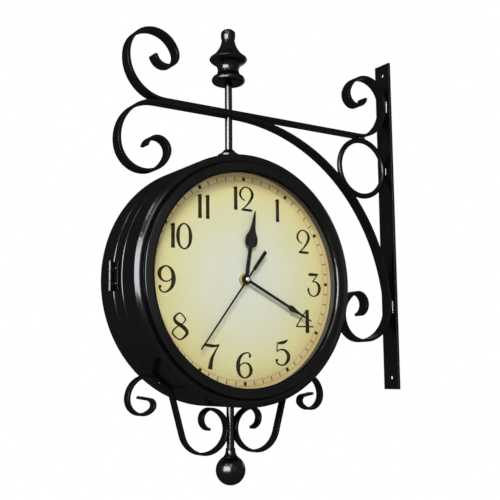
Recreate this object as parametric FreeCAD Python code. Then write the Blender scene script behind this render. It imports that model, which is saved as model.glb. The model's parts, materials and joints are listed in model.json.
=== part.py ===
import FreeCAD, Part
import math
import os

from FreeCAD import Vector

# Double-sided wall clock hung from a scrolled iron bracket. The pieces are drawn about the centre of the
# clock drum: X runs to the wall, the front dial faces -Y and Z is up. Each one is then moved so that the
# origin lies on the wall, midway between the two screw holes.

# Drum
DRUM_R = 112.7
DRUM_WALL = 2.0
BAND_FRONT = 9.8             # middle plane to the front edge of the fixed band
BAND_REAR = 7.5
SEAM_CHAMFER = 0.8
SEAM_GAP = 0.3
LIP_THICK = 2.0
LIP_REACH = 2.0
LIP_CLEAR = 0.3
BEZEL_ROUND = 4.2            # drum's side to the inner end of the rounded edge
BEZEL_LIP = 3.0              # depth of the rounded edge behind the crest
BEZEL_BULGE = 0.45
CREASE_DEPTH = 0.5           # crease between the drum's side and the rounded edge
BEZEL_WIDTH = 16.7           # drum's side to the opening over the glass
BEAD_ROUND = 2.6
BEAD_WIDTH = 9.4             # opening over the glass to the bottom of the groove
BEAD_STEP = 1.8              # upright wall of the bead at the groove
BEAD_DRAFT = 0.5
BEAD_EDGE = 0.8
BEAD_RISE = 2.1              # bead round the glass over the crest of the bezel
GROOVE_DEPTH = 1.4

# Wall bar
WALL_GAP = 84.5              # drum's side to the wall
BAR_LENGTH = 344.5
BAR_WIDTH = 21.4
BAR_THICK = 2.5
BAR_RISE = 72.0              # middle of the bar above the drum's centre
SCREW_EDGE = 11.75           # end of the bar to the screw hole
SCREW_HOLE_R = 2.25

# Scrolled strips of the bracket. Turns are in degrees.
STRIP_WIDTH = 12.0
STRIP_THICK = 2.8
ARM_GAP = 46.55              # top of the drum to the joint of the two strips
SCROLL_OUTER_R = 36.7
SCROLL_MIDDLE_R = 24.8
SCROLL_INNER_R = 11.4
SCROLL_TURNS = (102.0, 149.0, 187.0)
UPPER_CURL_X = 69.6          # start of the left curls, from the rod
LOWER_CURL_X = 77.6
BRACE_UPPER_R = 182.8
BRACE_LOWER_R = 194.2
BRACE_TURNS = (51.0, 31.7)
BRACE_DROP = 2.5             # straight end of the brace above its scroll
RING_ROD_R = 2.7
WELD_GAP = 0.05

# Rods, finial and ball
ROD_R = 3.5
ROD_CLEAR = 0.05
FINIAL_GAP = 29.55           # joint of the two strips to the underside of the finial
FINIAL_TURNS = (             # radius, height above the underside and bulge of each stretch
    (12.2, 0.0, 0.0),
    (15.7, 2.6, 0.7),
    (13.4, 7.2, 0.9),
    (10.1, 13.0, -0.9),
    (14.5, 20.4, -1.2),
    (18.0, 23.8, 0.4),
    (15.9, 26.4, 0.4),
    (6.2, 42.9, -1.9),
    (6.7, 50.9, 0.5),
)
FINIAL_HEIGHT = 54.3         # underside to the top of the rounded crown
FINIAL_SOCKET = 16.0
BALL_R = 13.3
BALL_GAP = 55.3              # underside of the drum to the centre of the ball
BALL_GRIP = 4.3              # length of the rod inside the ball
COLLAR_R = 6.8
COLLAR_HEIGHT = 7.5
COLLAR_NECK_WALL = 0.9
COLLAR_HOLLOW = -0.9
FLANGE_R = 10.4
FLANGE_CUP = 7.0             # upright side of the flange above the drum
FLANGE_CONE = 4.7
FLANGE_NECK_WALL = 1.1
FLANGE_HOLLOW = -0.5
NUT_WALL = 2.45
NUT_HEIGHT = 5.0
NUT_SEAT = 0.4               # flat nut below the curved inside of the band
ROD_PAST_NUT = 5.0

# Glass, dial and the rings that hold them
GLASS_LAND = 8.0             # glass behind the bezel
GLASS_THICK = 2.0
GLASS_INSET = 3.0            # crest of the bezel to the front of the glass
DIAL_THICK = 1.2
REVEAL_STEP = 2.0            # reveal ring outside the opening
REVEAL_THICK = 1.6
REVEAL_FLANGE = 1.5
RETAINER_THICK = 2.0
RETAINER_LAND = 5.0          # dial edge held by the retaining ring
RING_CLEAR = 0.05

# Movement
BATTERY_R = 7.1
BATTERY_LENGTH = 49.2
BATTERY_NUB_R = 2.6
BATTERY_NUB = 1.3
BATTERY_CLEAR = 0.7          # battery to the bottom of the case
BATTERY_TO_WHEELS = 2.65     # seconds wheel to the wall over the battery
CONTACT_THICK = 0.4
CONTACT_WIDTH = 8.0
CONTACT_REACH = 2.2          # case to the end of the battery
CASE_WALL = 1.2
CASE_HIGH = 28.0             # hand arbor to the top of the case
CASE_SPARE = 2.2             # depth of the case that the battery leaves free
CASE_CORNER = 4.0
GASKET_THICK = 1.2
GASKET_WIDTH = 5.1
SECOND_ARBOR_R = 0.75
MINUTE_TUBE_WALL = 1.0
HOUR_TUBE_WALL = 0.9
BUSH_WALL = 1.1
SHAFT_CLEAR = 0.05
DIAL_HOLE_CLEAR = 0.2
DIAL_NUT_WALL = 1.6
DIAL_NUT_THICK = 1.9
BUSH_PAST_NUT = 0.7
WHEEL_THICK = 1.0
WHEEL_GAP = 0.6
MESH_GAP = 0.3
HOUR_WHEEL_R = 7.5
SECOND_WHEEL_R = 8.0
PINION_WALL = 0.5
SETTING_ARBOR_R = 1.0
SETTING_PINION_WALL = 0.8
KNOB_R = 5.0
KNOB_THICK = 3.0
KNOB_SPACE = 2.2             # between the setting knobs of the two movements

# Hands. A spade is its half width, distance from the arbor and bulge at the neck, hip, taper and tip.
HAND_THICK = 0.4
HAND_GAP = 0.6
HAND_TO_GLASS = 0.9
HOUR_ANGLE = 9.2             # clockwise from twelve, as the clock stands in the photograph
MINUTE_ANGLE = 116.6
SECOND_ANGLE = 217.3
HOUR_HUB_WALL = 1.85
HOUR_SPADE = ((1.9, 30.0, 0.0), (6.4, 36.0, 1.7), (4.6, 42.0, 0.7), (2.0, 52.0, -0.5), (0.65, 63.6, -0.1))
MINUTE_HUB_WALL = 1.8
MINUTE_SPADE = ((1.3, 50.5, 0.0), (2.7, 55.6, 0.4), (1.2, 63.5, -0.15), (0.55, 79.5, 0.0))
SECOND_HUB_WALL = 1.65
SECOND_LENGTH = 78.7
SECOND_NEEDLE = 1.8
SECOND_TIP = 1.4
SECOND_BAR = 3.4
SECOND_BAR_START = 11.7
SECOND_BAR_LENGTH = 21.3
SECOND_CAP = 0.6

# Hinge on the left of the drum, and the catch opposite
HINGE_HEIGHT = 25.0
LEAF_WIDTH = 11.0
LEAF_THICK = 1.1
PIN_R = 1.1
PIN_HEAD = 1.0
KNUCKLES = 3
KNUCKLE_WALL = 1.05
KNUCKLE_GAP = 0.3
RIVET_R = 0.9
RIVET_BRIM = 1.0
RIVET_HEAD = 0.9
RIVET_EDGE = 6.0             # end of the leaf to the rivet
CATCH_HEIGHT = 16.0
CATCH_DEPTH = 8.0
STRIKE_THICK = 1.5

# Foot scrolls under the drum
FOOT_WIDTH = 8.0
FOOT_THICK = 2.4
FOOT_SEAT_AT = 38.3          # seat on the drum, degrees from straight down
FOOT_SEAT_TURN = 2.8
FOOT_KNEE_R = 18.6
FOOT_KNEE_TURN = 38.5
FOOT_LEG = 34.6
FOOT_LOOP_TURN = 139.0       # round the bottom, up beside the rod
FOOT_RISE_R = 18.2           # up beside the rod, then the inner curl
FOOT_INNER_R = 9.0
FOOT_INNER_TURNS = (105.0, 180.0)
FOOT_SHOULDER_R = 2.0        # away from the drum, then the outer curl
FOOT_BACK_R = 19.4
FOOT_SOLE_R = 13.3
FOOT_HOOK_R = 5.0
FOOT_OUTER_TURNS = (20.0, 108.5, 140.5, 122.0)
FOOT_TONGUE = 10.0
FOOT_SCREW_R = 1.6
FOOT_SCREW_BRIM = 1.2
FOOT_SCREW_HEAD = 1.6
FOOT_SCREW_ROUND = 1.0

# Sizes that follow from the ones above. An arc is its radius and turn.
SCROLL_ARCS = tuple(zip((SCROLL_OUTER_R, SCROLL_MIDDLE_R, SCROLL_INNER_R), SCROLL_TURNS))
BRACE_ARCS = tuple(zip((BRACE_UPPER_R, BRACE_LOWER_R), BRACE_TURNS))
FOOT_INNER = tuple(zip((FOOT_RISE_R, FOOT_INNER_R), FOOT_INNER_TURNS))
FOOT_OUTER = tuple(zip((FOOT_SHOULDER_R, FOOT_BACK_R, FOOT_SOLE_R, FOOT_HOOK_R), FOOT_OUTER_TURNS))
SHELL_INNER_R = DRUM_R - DRUM_WALL
BAND_INNER_R = SHELL_INNER_R - LIP_THICK
BEZEL_INNER_R = DRUM_R - BEZEL_WIDTH
GLASS_R = BEZEL_INNER_R + GLASS_LAND
MINUTE_TUBE_R = SECOND_ARBOR_R + SHAFT_CLEAR + MINUTE_TUBE_WALL
HOUR_TUBE_R = MINUTE_TUBE_R + SHAFT_CLEAR + HOUR_TUBE_WALL
BUSH_R = HOUR_TUBE_R + SHAFT_CLEAR + BUSH_WALL
CANNON_PINION_R = MINUTE_TUBE_R + PINION_WALL
MOTION_PINION_R = SETTING_ARBOR_R + SETTING_PINION_WALL
MOTION_CENTRES = HOUR_WHEEL_R + MESH_GAP + MOTION_PINION_R
MOTION_WHEEL_R = MOTION_CENTRES - MESH_GAP - CANNON_PINION_R
CASE_HALF = BATTERY_LENGTH / 2 + CONTACT_REACH + CASE_WALL
CASE_DEPTH = CASE_WALL + 2 * BATTERY_R + CASE_SPARE
BATTERY_WALL_LOW = -(SECOND_WHEEL_R + BATTERY_TO_WHEELS + CASE_WALL)
BATTERY_DROP = BATTERY_R + SHAFT_CLEAR - BATTERY_WALL_LOW
CASE_LOW = BATTERY_DROP + BATTERY_R + BATTERY_CLEAR + CASE_WALL
KNUCKLE_R = PIN_R + SHAFT_CLEAR + KNUCKLE_WALL

# Distances out of the drum's middle plane, from the setting knobs to the crest of the bezel's rim
KNOB_BACK = KNOB_SPACE / 2
CASE_BACK = KNOB_BACK + KNOB_THICK + WHEEL_GAP
CASE_FRONT = CASE_BACK + CASE_DEPTH
DIAL_BACK = CASE_FRONT + GASKET_THICK
DIAL_FRONT = DIAL_BACK + DIAL_THICK
BUSH_END = DIAL_FRONT + DIAL_NUT_THICK + BUSH_PAST_NUT
HOUR_HAND_AT = BUSH_END + HAND_GAP
MINUTE_HAND_AT = HOUR_HAND_AT + HAND_THICK + HAND_GAP
SECOND_HAND_AT = MINUTE_HAND_AT + HAND_THICK + HAND_GAP
GLASS_BACK = SECOND_HAND_AT + HAND_THICK + SECOND_CAP + HAND_TO_GLASS
GLASS_FRONT = GLASS_BACK + GLASS_THICK
CREST = GLASS_FRONT + GLASS_INSET

# Places about the drum's centre
REACH = DRUM_R + WALL_GAP
BAR_FACE = REACH - BAR_THICK
ARM_RISE = DRUM_R + ARM_GAP
FINIAL_BASE = ARM_RISE + FINIAL_GAP
BALL_DROP = DRUM_R + BALL_GAP
HINGE_X = -(DRUM_R + KNUCKLE_R + KNUCKLE_GAP)
TO_MOUNT = Vector(-REACH, 0, -BAR_RISE)

X_AXIS = Vector(1, 0, 0)
Y_AXIS = Vector(0, 1, 0)
Z_AXIS = Vector(0, 0, 1)
CENTRE = Vector(0, 0, 0)
EPS = 1.0                    # overshoot of a cutting tool
QUARTER = 1 - math.sqrt(0.5)   # bulge of a quarter round of radius 1


# Drawing helpers

def outline(place, start, *steps):
    """Closed face. A step is an end point, and a third number is the bulge of an arc to it.

    The bulge is the arc's height over its chord, outwards where the outline runs counterclockwise.
    """
    edges = []
    here = start
    for u, v, *bulge in steps:
        end = (u, v)
        if bulge and bulge[0]:
            chord = math.hypot(u - here[0], v - here[1])
            lift = bulge[0] / chord
            through = ((here[0] + u) / 2 + lift * (v - here[1]), (here[1] + v) / 2 - lift * (u - here[0]))
            edges.append(Part.Arc(place(*here), place(*through), place(*end)).toShape())
        else:
            edges.append(Part.LineSegment(place(*here), place(*end)).toShape())
        here = end
    edges.append(Part.LineSegment(place(*here), place(*start)).toShape())
    return Part.Face(Part.Wire(edges))


def turned_on_y(start, *steps):
    """Turned about the drum's axis from points (radius, distance out of the middle plane to the front)."""
    return outline(lambda r, out: Vector(r, -out, 0), start, *steps).revolve(CENTRE, Y_AXIS, 360)


def turned_on_z(start, *steps):
    """Turned about the vertical axis from points (radius, height)."""
    return outline(lambda r, z: Vector(r, 0, z), start, *steps).revolve(CENTRE, Z_AXIS, 360)


def disc(radius, back, front, hole=0.0):
    """Round plate about the drum's axis between two distances out of the middle plane."""
    solid = Part.makeCylinder(radius, front - back, Vector(0, -back, 0), -Y_AXIS)
    if hole > 0:
        length = front - back + 2 * EPS
        solid = solid.cut(Part.makeCylinder(hole, length, Vector(0, EPS - back, 0), -Y_AXIS))
    return solid


def block(x0, x1, y0, y1, z0, z1):
    return Part.makeBox(x1 - x0, y1 - y0, z1 - z0, Vector(x0, y0, z0))


def post(radius, z0, z1):
    return Part.makeCylinder(radius, z1 - z0, Vector(0, 0, z0), Z_AXIS)


def hexagon(inner_r, base, direction, height):
    """Hexagonal prism that stands on base, with its flats at the inner radius."""
    sides = 6
    corner = X_AXIS * (inner_r / math.cos(math.pi / sides))
    points = []
    for k in range(sides):
        points.append(base + FreeCAD.Rotation(direction, 360 * k / sides).multVec(corner))
    return Part.Face(Part.makePolygon(points + points[:1])).extrude(direction * height)


def turned_round(shape):
    """The rear piece that matches a front piece."""
    return shape.rotated(CENTRE, Z_AXIS, 180)


# Bent strips. A pose is (x, z, heading), a run is ("line", length) or ("arc", radius, turn to the left).

def advance(pose, run, share=1.0):
    x, z, heading = pose
    if run[0] == "line":
        length = run[1] * share
        return (x + length * math.cos(heading), z + length * math.sin(heading), heading)
    radius = math.copysign(run[1], run[2])
    end = heading + math.radians(run[2]) * share
    return (
        x + radius * (math.sin(end) - math.sin(heading)),
        z - radius * (math.cos(end) - math.cos(heading)),
        end,
    )


def end_of(pose, runs):
    for run in runs:
        pose = advance(pose, run)
    return pose


def backwards(pose, runs):
    """The same route walked from its far end."""
    x, z, heading = end_of(pose, runs)
    flipped = []
    for run in reversed(runs):
        flipped.append(run if run[0] == "line" else ("arc", run[1], -run[2]))
    return (x, z, heading + math.pi), flipped


def arcs(pairs, side):
    return [("arc", radius, side * turn) for radius, turn in pairs]


def bent_strip(pose, runs, width, thick):
    """Flat strip bent along a route in the XZ plane."""

    def beside(at, offset):
        x, z, heading = at
        return Vector(x - offset * math.sin(heading), -width / 2, z + offset * math.cos(heading))

    left = []
    right = []
    first = pose
    for run in runs:
        middle = advance(pose, run, 0.5)
        end = advance(pose, run)
        for side, edges in ((thick / 2, left), (-thick / 2, right)):
            a, m, b = beside(pose, side), beside(middle, side), beside(end, side)
            curve = Part.LineSegment(a, b) if run[0] == "line" else Part.Arc(a, m, b)
            edges.append(curve.toShape())
        pose = end
    start_cap = Part.LineSegment(beside(first, -thick / 2), beside(first, thick / 2)).toShape()
    end_cap = Part.LineSegment(beside(pose, thick / 2), beside(pose, -thick / 2)).toShape()
    wire = Part.Wire([start_cap] + left + [end_cap] + right[::-1])
    return Part.Face(wire).extrude(Y_AXIS * width)


# Bracket

def wall_bar():
    low = BAR_RISE - BAR_LENGTH / 2
    bar = block(BAR_FACE, REACH, -BAR_WIDTH / 2, BAR_WIDTH / 2, low, low + BAR_LENGTH)
    for side in (-1, 1):
        at = Vector(BAR_FACE - EPS, 0, BAR_RISE + side * (BAR_LENGTH / 2 - SCREW_EDGE))
        bar = bar.cut(Part.makeCylinder(SCREW_HOLE_R, BAR_THICK + 2 * EPS, at, X_AXIS))
    return bar


def rod_hole():
    return post(ROD_R + ROD_CLEAR, ARM_RISE - 2 * STRIP_THICK, ARM_RISE + 2 * STRIP_THICK)


def upper_scroll_strip():
    """Arm over the drum: a curl at the free end and a scroll that stands against the wall bar."""
    height = ARM_RISE + STRIP_THICK / 2
    to_wall = BAR_FACE - WELD_GAP - STRIP_THICK / 2 - SCROLL_OUTER_R
    pose, curl = backwards((0, height, math.pi), [("line", UPPER_CURL_X)] + arcs(SCROLL_ARCS, -1))
    runs = curl + [("line", to_wall)] + arcs(SCROLL_ARCS, 1)
    return bent_strip(pose, runs, STRIP_WIDTH, STRIP_THICK).cut(rod_hole())


def brace_runs():
    """Brace under the arm, from where it leaves the arm to its scroll."""
    return arcs(BRACE_ARCS, -1) + [("line", BRACE_DROP)]


def brace_start():
    """Distance from the rod to where the brace leaves the arm, so that its scroll meets the wall bar."""
    x, _, heading = end_of((0, 0, 0), brace_runs())
    outward = x + SCROLL_OUTER_R * (1 + math.sin(heading))
    return BAR_FACE - WELD_GAP - STRIP_THICK / 2 - outward


def lower_scroll_strip():
    """Strip under the arm: a curl at the free end, then the brace and its scroll on the wall bar."""
    height = ARM_RISE - STRIP_THICK / 2
    start = brace_start()
    curl = [("line", start + LOWER_CURL_X)] + arcs(SCROLL_ARCS, 1)
    pose, runs = backwards((start, height, math.pi), curl)
    runs = runs + brace_runs() + arcs(SCROLL_ARCS, -1)
    return bent_strip(pose, runs, STRIP_WIDTH, STRIP_THICK).cut(rod_hole())


def bracket_ring():
    """Round rod ring that touches the arm, the brace and the wall bar."""
    brace_x = brace_start()
    brace_z = ARM_RISE - STRIP_THICK / 2 - BRACE_UPPER_R
    brace_out = BRACE_UPPER_R + STRIP_THICK / 2 + WELD_GAP
    a = BAR_FACE - WELD_GAP - brace_x
    b = ARM_RISE - WELD_GAP - brace_z
    half = a + b + brace_out
    outer = half - math.sqrt(half * half - (a * a + b * b - brace_out * brace_out))
    centre = Vector(brace_x + a - outer, 0, brace_z + b - outer)
    return Part.makeTorus(outer - RING_ROD_R, RING_ROD_R, centre, Y_AXIS)


def finial():
    """Turned finial: rounded base, neck, flared shoulder, slope and knob."""
    z = FINIAL_BASE
    turns = [(radius, z + height, bulge) for radius, height, bulge in FINIAL_TURNS]
    crown_r, crown_base, _ = FINIAL_TURNS[-1]
    crown_rise = FINIAL_HEIGHT - crown_base
    chord = math.hypot(crown_r, crown_rise)
    sphere_r = chord ** 2 / (2 * crown_rise)
    crown_bulge = sphere_r - math.sqrt(sphere_r ** 2 - chord ** 2 / 4)
    return turned_on_z(
        (ROD_R + ROD_CLEAR, z),
        *turns,
        (0, z + FINIAL_HEIGHT, crown_bulge),
        (0, z + FINIAL_SOCKET),
        (ROD_R + ROD_CLEAR, z + FINIAL_SOCKET),
    )


def nut_seat():
    """Height of the nuts' seats on the inside of the band."""
    return BAND_INNER_R - NUT_SEAT


def hanger_rod():
    low = nut_seat() - NUT_HEIGHT - ROD_PAST_NUT
    return post(ROD_R, low, FINIAL_BASE + FINIAL_SOCKET - WELD_GAP)


def top_flange():
    """Flared cap that sits on the band and stays clear of the door."""
    foot = DRUM_R - DRUM_WALL
    cup = DRUM_R + FLANGE_CUP
    top = cup + FLANGE_CONE
    inner = ROD_R + ROD_CLEAR
    cap = turned_on_z(
        (inner, foot),
        (FLANGE_R, foot),
        (FLANGE_R, cup),
        (inner + FLANGE_NECK_WALL, top, FLANGE_HOLLOW),
        (inner, top),
    )
    cap = cap.cut(disc(DRUM_R, -FLANGE_R - EPS, FLANGE_R + EPS))
    return cap.cut(disc(DRUM_R + SEAM_GAP, -FLANGE_R - EPS, SEAM_GAP - BAND_REAR))


def rod_nuts():
    """Hexagon nuts inside the drum, on the hanger rod and on the lower rod."""
    hole_r = ROD_R + ROD_CLEAR
    nuts = []
    for base in (nut_seat() - NUT_HEIGHT, -nut_seat()):
        nut = hexagon(hole_r + NUT_WALL, Vector(0, 0, base), Z_AXIS, NUT_HEIGHT)
        nuts.append(nut.cut(post(hole_r, base - EPS, base + NUT_HEIGHT + EPS)))
    return Part.makeCompound(nuts)


def lower_rod():
    return post(ROD_R, BALL_R - BALL_GRIP - BALL_DROP, NUT_HEIGHT + ROD_PAST_NUT - nut_seat())


def lower_collar():
    """Flared collar that rests on the ball."""
    inner = ROD_R + ROD_CLEAR
    foot = math.sqrt(BALL_R ** 2 - COLLAR_R ** 2) - BALL_DROP
    collar = turned_on_z(
        (inner, foot - BALL_GRIP),
        (COLLAR_R, foot - BALL_GRIP),
        (COLLAR_R, foot + WELD_GAP),
        (inner + COLLAR_NECK_WALL, foot + COLLAR_HEIGHT, COLLAR_HOLLOW),
        (inner, foot + COLLAR_HEIGHT),
    )
    return collar.cut(Part.makeSphere(BALL_R + WELD_GAP, Vector(0, 0, -BALL_DROP)))


def ball():
    floor = BALL_R - BALL_GRIP - WELD_GAP - BALL_DROP
    hole = post(ROD_R + ROD_CLEAR, floor, BALL_R + EPS - BALL_DROP)
    return Part.makeSphere(BALL_R, Vector(0, 0, -BALL_DROP)).cut(hole)


# Drum

def centre_band():
    """Fixed band between the two shells. Its inner lip centres them."""
    lip_r = SHELL_INNER_R - LIP_CLEAR
    bevel = DRUM_R - SEAM_CHAMFER
    band = turned_on_y(
        (BAND_INNER_R, -BAND_REAR - LIP_REACH),
        (lip_r, -BAND_REAR - LIP_REACH),
        (lip_r, -BAND_REAR),
        (bevel, -BAND_REAR),
        (DRUM_R, SEAM_CHAMFER - BAND_REAR),
        (DRUM_R, BAND_FRONT - SEAM_CHAMFER),
        (bevel, BAND_FRONT),
        (lip_r, BAND_FRONT),
        (lip_r, BAND_FRONT + LIP_REACH),
        (BAND_INNER_R, BAND_FRONT + LIP_REACH),
    )
    for z0, z1 in ((BAND_INNER_R - EPS, DRUM_R + EPS), (-DRUM_R - EPS, EPS - BAND_INNER_R)):
        band = band.cut(post(ROD_R + ROD_CLEAR, z0, z1))
    return band


def shell(rim):
    """Half of the case with its bezel: a creased rounded edge, a groove and an inner bead round the glass."""
    inner_round = BEZEL_ROUND - DRUM_WALL
    lip = CREST - BEZEL_LIP
    groove = CREST - GROOVE_DEPTH
    groove_r = BEZEL_INNER_R + BEAD_WIDTH
    return turned_on_y(
        (SHELL_INNER_R, rim),
        (DRUM_R - SEAM_CHAMFER, rim),
        (DRUM_R, rim + SEAM_CHAMFER),
        (DRUM_R, lip - CREASE_DEPTH),
        (DRUM_R - CREASE_DEPTH, lip),
        (DRUM_R - BEZEL_ROUND, CREST, BEZEL_BULGE),
        (groove_r, groove),
        (groove_r - BEAD_DRAFT, groove + BEAD_STEP),
        (groove_r - BEAD_DRAFT - BEAD_EDGE, groove + BEAD_STEP + BEAD_EDGE, QUARTER * BEAD_EDGE),
        (BEZEL_INNER_R + BEAD_ROUND, CREST + BEAD_RISE),
        (BEZEL_INNER_R, CREST + BEAD_RISE - BEAD_ROUND, QUARTER * BEAD_ROUND),
        (BEZEL_INNER_R, GLASS_FRONT),
        (SHELL_INNER_R - inner_round, GLASS_FRONT),
        (SHELL_INNER_R, GLASS_FRONT - inner_round, -QUARTER * inner_round),
    )


def glass():
    return disc(GLASS_R, GLASS_BACK, GLASS_FRONT)


def reveal_ring():
    """Black ring between the glass and the dial, with a flange under the glass."""
    inner = BEZEL_INNER_R + REVEAL_STEP
    outer = inner + REVEAL_THICK
    return turned_on_y(
        (inner, DIAL_FRONT), (outer, DIAL_FRONT), (outer, GLASS_BACK - REVEAL_FLANGE),
        (GLASS_R, GLASS_BACK - REVEAL_FLANGE), (GLASS_R, GLASS_BACK), (inner, GLASS_BACK),
    )


def dial():
    return disc(GLASS_R, DIAL_BACK, DIAL_FRONT, BUSH_R + DIAL_HOLE_CLEAR)


def retaining_ring():
    """Ring that holds the dial, the reveal ring and the glass against the bezel."""
    outer = SHELL_INNER_R - RING_CLEAR
    return turned_on_y(
        (GLASS_R - RETAINER_LAND, DIAL_BACK - RETAINER_THICK), (outer, DIAL_BACK - RETAINER_THICK),
        (outer, DIAL_FRONT), (GLASS_R + RING_CLEAR, DIAL_FRONT), (GLASS_R + RING_CLEAR, DIAL_BACK),
        (GLASS_R - RETAINER_LAND, DIAL_BACK),
    )


# Movement

def case_block(inset, back, front):
    """Block with rounded upright edges, inside the outline of the case by an inset."""
    solid = block(inset - CASE_HALF, CASE_HALF - inset, -front, -back, inset - CASE_LOW, CASE_HIGH - inset)
    corner = CASE_CORNER - inset
    if corner <= 0:
        return solid
    upright = [edge for edge in solid.Edges if edge.BoundBox.YLength > (front - back) / 2]
    return solid.makeFillet(corner, upright)


def movement_case():
    """Open box with the threaded bush on its face and a wall beside the battery."""
    inner = CASE_HALF - CASE_WALL
    floor = CASE_FRONT - CASE_WALL
    box = case_block(0, CASE_BACK, CASE_FRONT)
    hollow = case_block(CASE_WALL, CASE_BACK - EPS, floor)
    top = BATTERY_WALL_LOW + CASE_WALL
    wall = block(-inner, inner, -floor, -CASE_BACK - CASE_WALL, BATTERY_WALL_LOW, top)
    case = box.cut(hollow).fuse(wall)
    case = case.fuse(disc(BUSH_R, floor, BUSH_END))
    bore = disc(HOUR_TUBE_R + SHAFT_CLEAR, floor - EPS, BUSH_END + EPS)
    return case.cut(bore).removeSplitter()


def movement_cover():
    """Lid over the wheels. The battery side stays open."""
    inside = CASE_BACK + CASE_WALL
    low = BATTERY_WALL_LOW + RING_CLEAR
    lid = case_block(CASE_WALL + RING_CLEAR, CASE_BACK, inside)
    lid = lid.cut(block(-CASE_HALF, CASE_HALF, -inside - EPS, EPS - CASE_BACK, -CASE_LOW, low))
    hole = disc(SETTING_ARBOR_R + SHAFT_CLEAR, CASE_BACK - EPS, inside + EPS)
    return lid.cut(hole.translated(Z_AXIS * MOTION_CENTRES))


def rubber_gasket():
    return disc(BUSH_R + GASKET_WIDTH, CASE_FRONT, DIAL_BACK, BUSH_R + RING_CLEAR)


def dial_nut():
    """Brass hexagon nut that clamps the dial to the movement."""
    nut = hexagon(BUSH_R + DIAL_NUT_WALL, Vector(0, -DIAL_FRONT, 0), -Y_AXIS, DIAL_NUT_THICK)
    return nut.cut(disc(BUSH_R + RING_CLEAR, DIAL_FRONT - EPS, DIAL_FRONT + DIAL_NUT_THICK + EPS))


def wheel_levels():
    """Fronts of the hour wheel, the cannon pinion and the seconds wheel, from the dial side."""
    hour = CASE_FRONT - CASE_WALL - WHEEL_GAP
    cannon = hour - WHEEL_THICK - WHEEL_GAP
    second = cannon - WHEEL_THICK - WHEEL_GAP
    return hour, cannon, second


def hour_wheel():
    """Hour wheel and the tube that carries the hour hand."""
    level = wheel_levels()[0]
    wheel = disc(HOUR_WHEEL_R, level - WHEEL_THICK, level)
    end = HOUR_HAND_AT + HAND_THICK
    tube = disc(HOUR_TUBE_R, level - WHEEL_THICK, end)
    bore = disc(MINUTE_TUBE_R + SHAFT_CLEAR, level - WHEEL_THICK - EPS, end + EPS)
    return wheel.fuse(tube).cut(bore)


def minute_wheel():
    """Cannon pinion and the tube that carries the minute hand."""
    level = wheel_levels()[1]
    pinion = disc(CANNON_PINION_R, level - WHEEL_THICK, level)
    end = MINUTE_HAND_AT + HAND_THICK
    tube = disc(MINUTE_TUBE_R, level - WHEEL_THICK, end)
    bore = disc(SECOND_ARBOR_R + SHAFT_CLEAR, level - WHEEL_THICK - EPS, end + EPS)
    return pinion.fuse(tube).cut(bore)


def seconds_wheel():
    """Seconds wheel and the thin arbor that carries the second hand."""
    level = wheel_levels()[2]
    tail = CASE_BACK + CASE_WALL + WHEEL_GAP
    wheel = disc(SECOND_WHEEL_R, level - WHEEL_THICK, level)
    return wheel.fuse(disc(SECOND_ARBOR_R, tail, SECOND_HAND_AT + HAND_THICK))


def set_knob():
    """Setting knob behind the case, moulded with the motion wheel and its pinion."""
    hour, cannon, _ = wheel_levels()
    pieces = disc(KNOB_R, KNOB_BACK, KNOB_BACK + KNOB_THICK)
    pieces = pieces.fuse(disc(SETTING_ARBOR_R, KNOB_BACK + KNOB_THICK, hour))
    pieces = pieces.fuse(disc(MOTION_PINION_R, hour - WHEEL_THICK, hour))
    pieces = pieces.fuse(disc(MOTION_WHEEL_R, cannon - WHEEL_THICK, cannon))
    return pieces.translated(Z_AXIS * MOTION_CENTRES)


def battery():
    """Round cell with its raised end, lying across the bottom of the case."""
    middle = (CASE_FRONT - CASE_WALL + CASE_BACK) / 2
    start = Vector(-BATTERY_LENGTH / 2, -middle, -BATTERY_DROP)
    body = Part.makeCylinder(BATTERY_R, BATTERY_LENGTH - BATTERY_NUB, start, X_AXIS)
    return body.fuse(Part.makeCylinder(BATTERY_NUB_R, BATTERY_LENGTH, start, X_AXIS))


def battery_contacts():
    """Bent metal tabs at the two ends of the battery compartment."""
    inner = CASE_HALF - CASE_WALL
    middle = (CASE_FRONT - CASE_WALL + CASE_BACK) / 2
    half = CONTACT_WIDTH / 2
    plate = block(inner - CONTACT_THICK, inner, -middle - half, half - middle, -half, half)
    start = Vector(inner - CONTACT_REACH, -middle, 0)
    dimple = Part.makeCylinder(BATTERY_NUB_R, CONTACT_REACH, start, X_AXIS)
    tab = plate.fuse(dimple).translated(Z_AXIS * -BATTERY_DROP)
    return Part.makeCompound([tab, tab.mirror(CENTRE, X_AXIS)])


# Hands, drawn pointing at twelve

def hand_plate(at, hub_r, hole_r, angle, *blades):
    """Flat hand: a round hub, its blades and the hole for its tube."""
    solid = disc(hub_r, at, at + HAND_THICK)
    for blade in blades:
        solid = solid.fuse(blade.extrude(Y_AXIS * -HAND_THICK))
    solid = solid.removeSplitter().cut(disc(hole_r, at - EPS, at + HAND_THICK + EPS))
    return solid.rotated(CENTRE, Y_AXIS, angle)


def spade(at, points):
    """Stem that swells into a pointed spade, the same on both sides."""
    stem = points[0][0]
    left = []
    for (half, distance, _), (_, _, bulge) in zip(points[-2::-1], points[:0:-1]):
        left.append((-half, distance, bulge))
    tip, length, _ = points[-1]
    return outline(lambda x, z: Vector(x, -at, z), (stem, 0), *points, (-tip, length), *left, (-stem, 0))


def hour_hand():
    blade = spade(HOUR_HAND_AT, HOUR_SPADE)
    return hand_plate(HOUR_HAND_AT, HOUR_TUBE_R + HOUR_HUB_WALL, HOUR_TUBE_R, HOUR_ANGLE, blade)


def minute_hand():
    blade = spade(MINUTE_HAND_AT, MINUTE_SPADE)
    return hand_plate(MINUTE_HAND_AT, MINUTE_TUBE_R + MINUTE_HUB_WALL, MINUTE_TUBE_R, MINUTE_ANGLE, blade)


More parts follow.
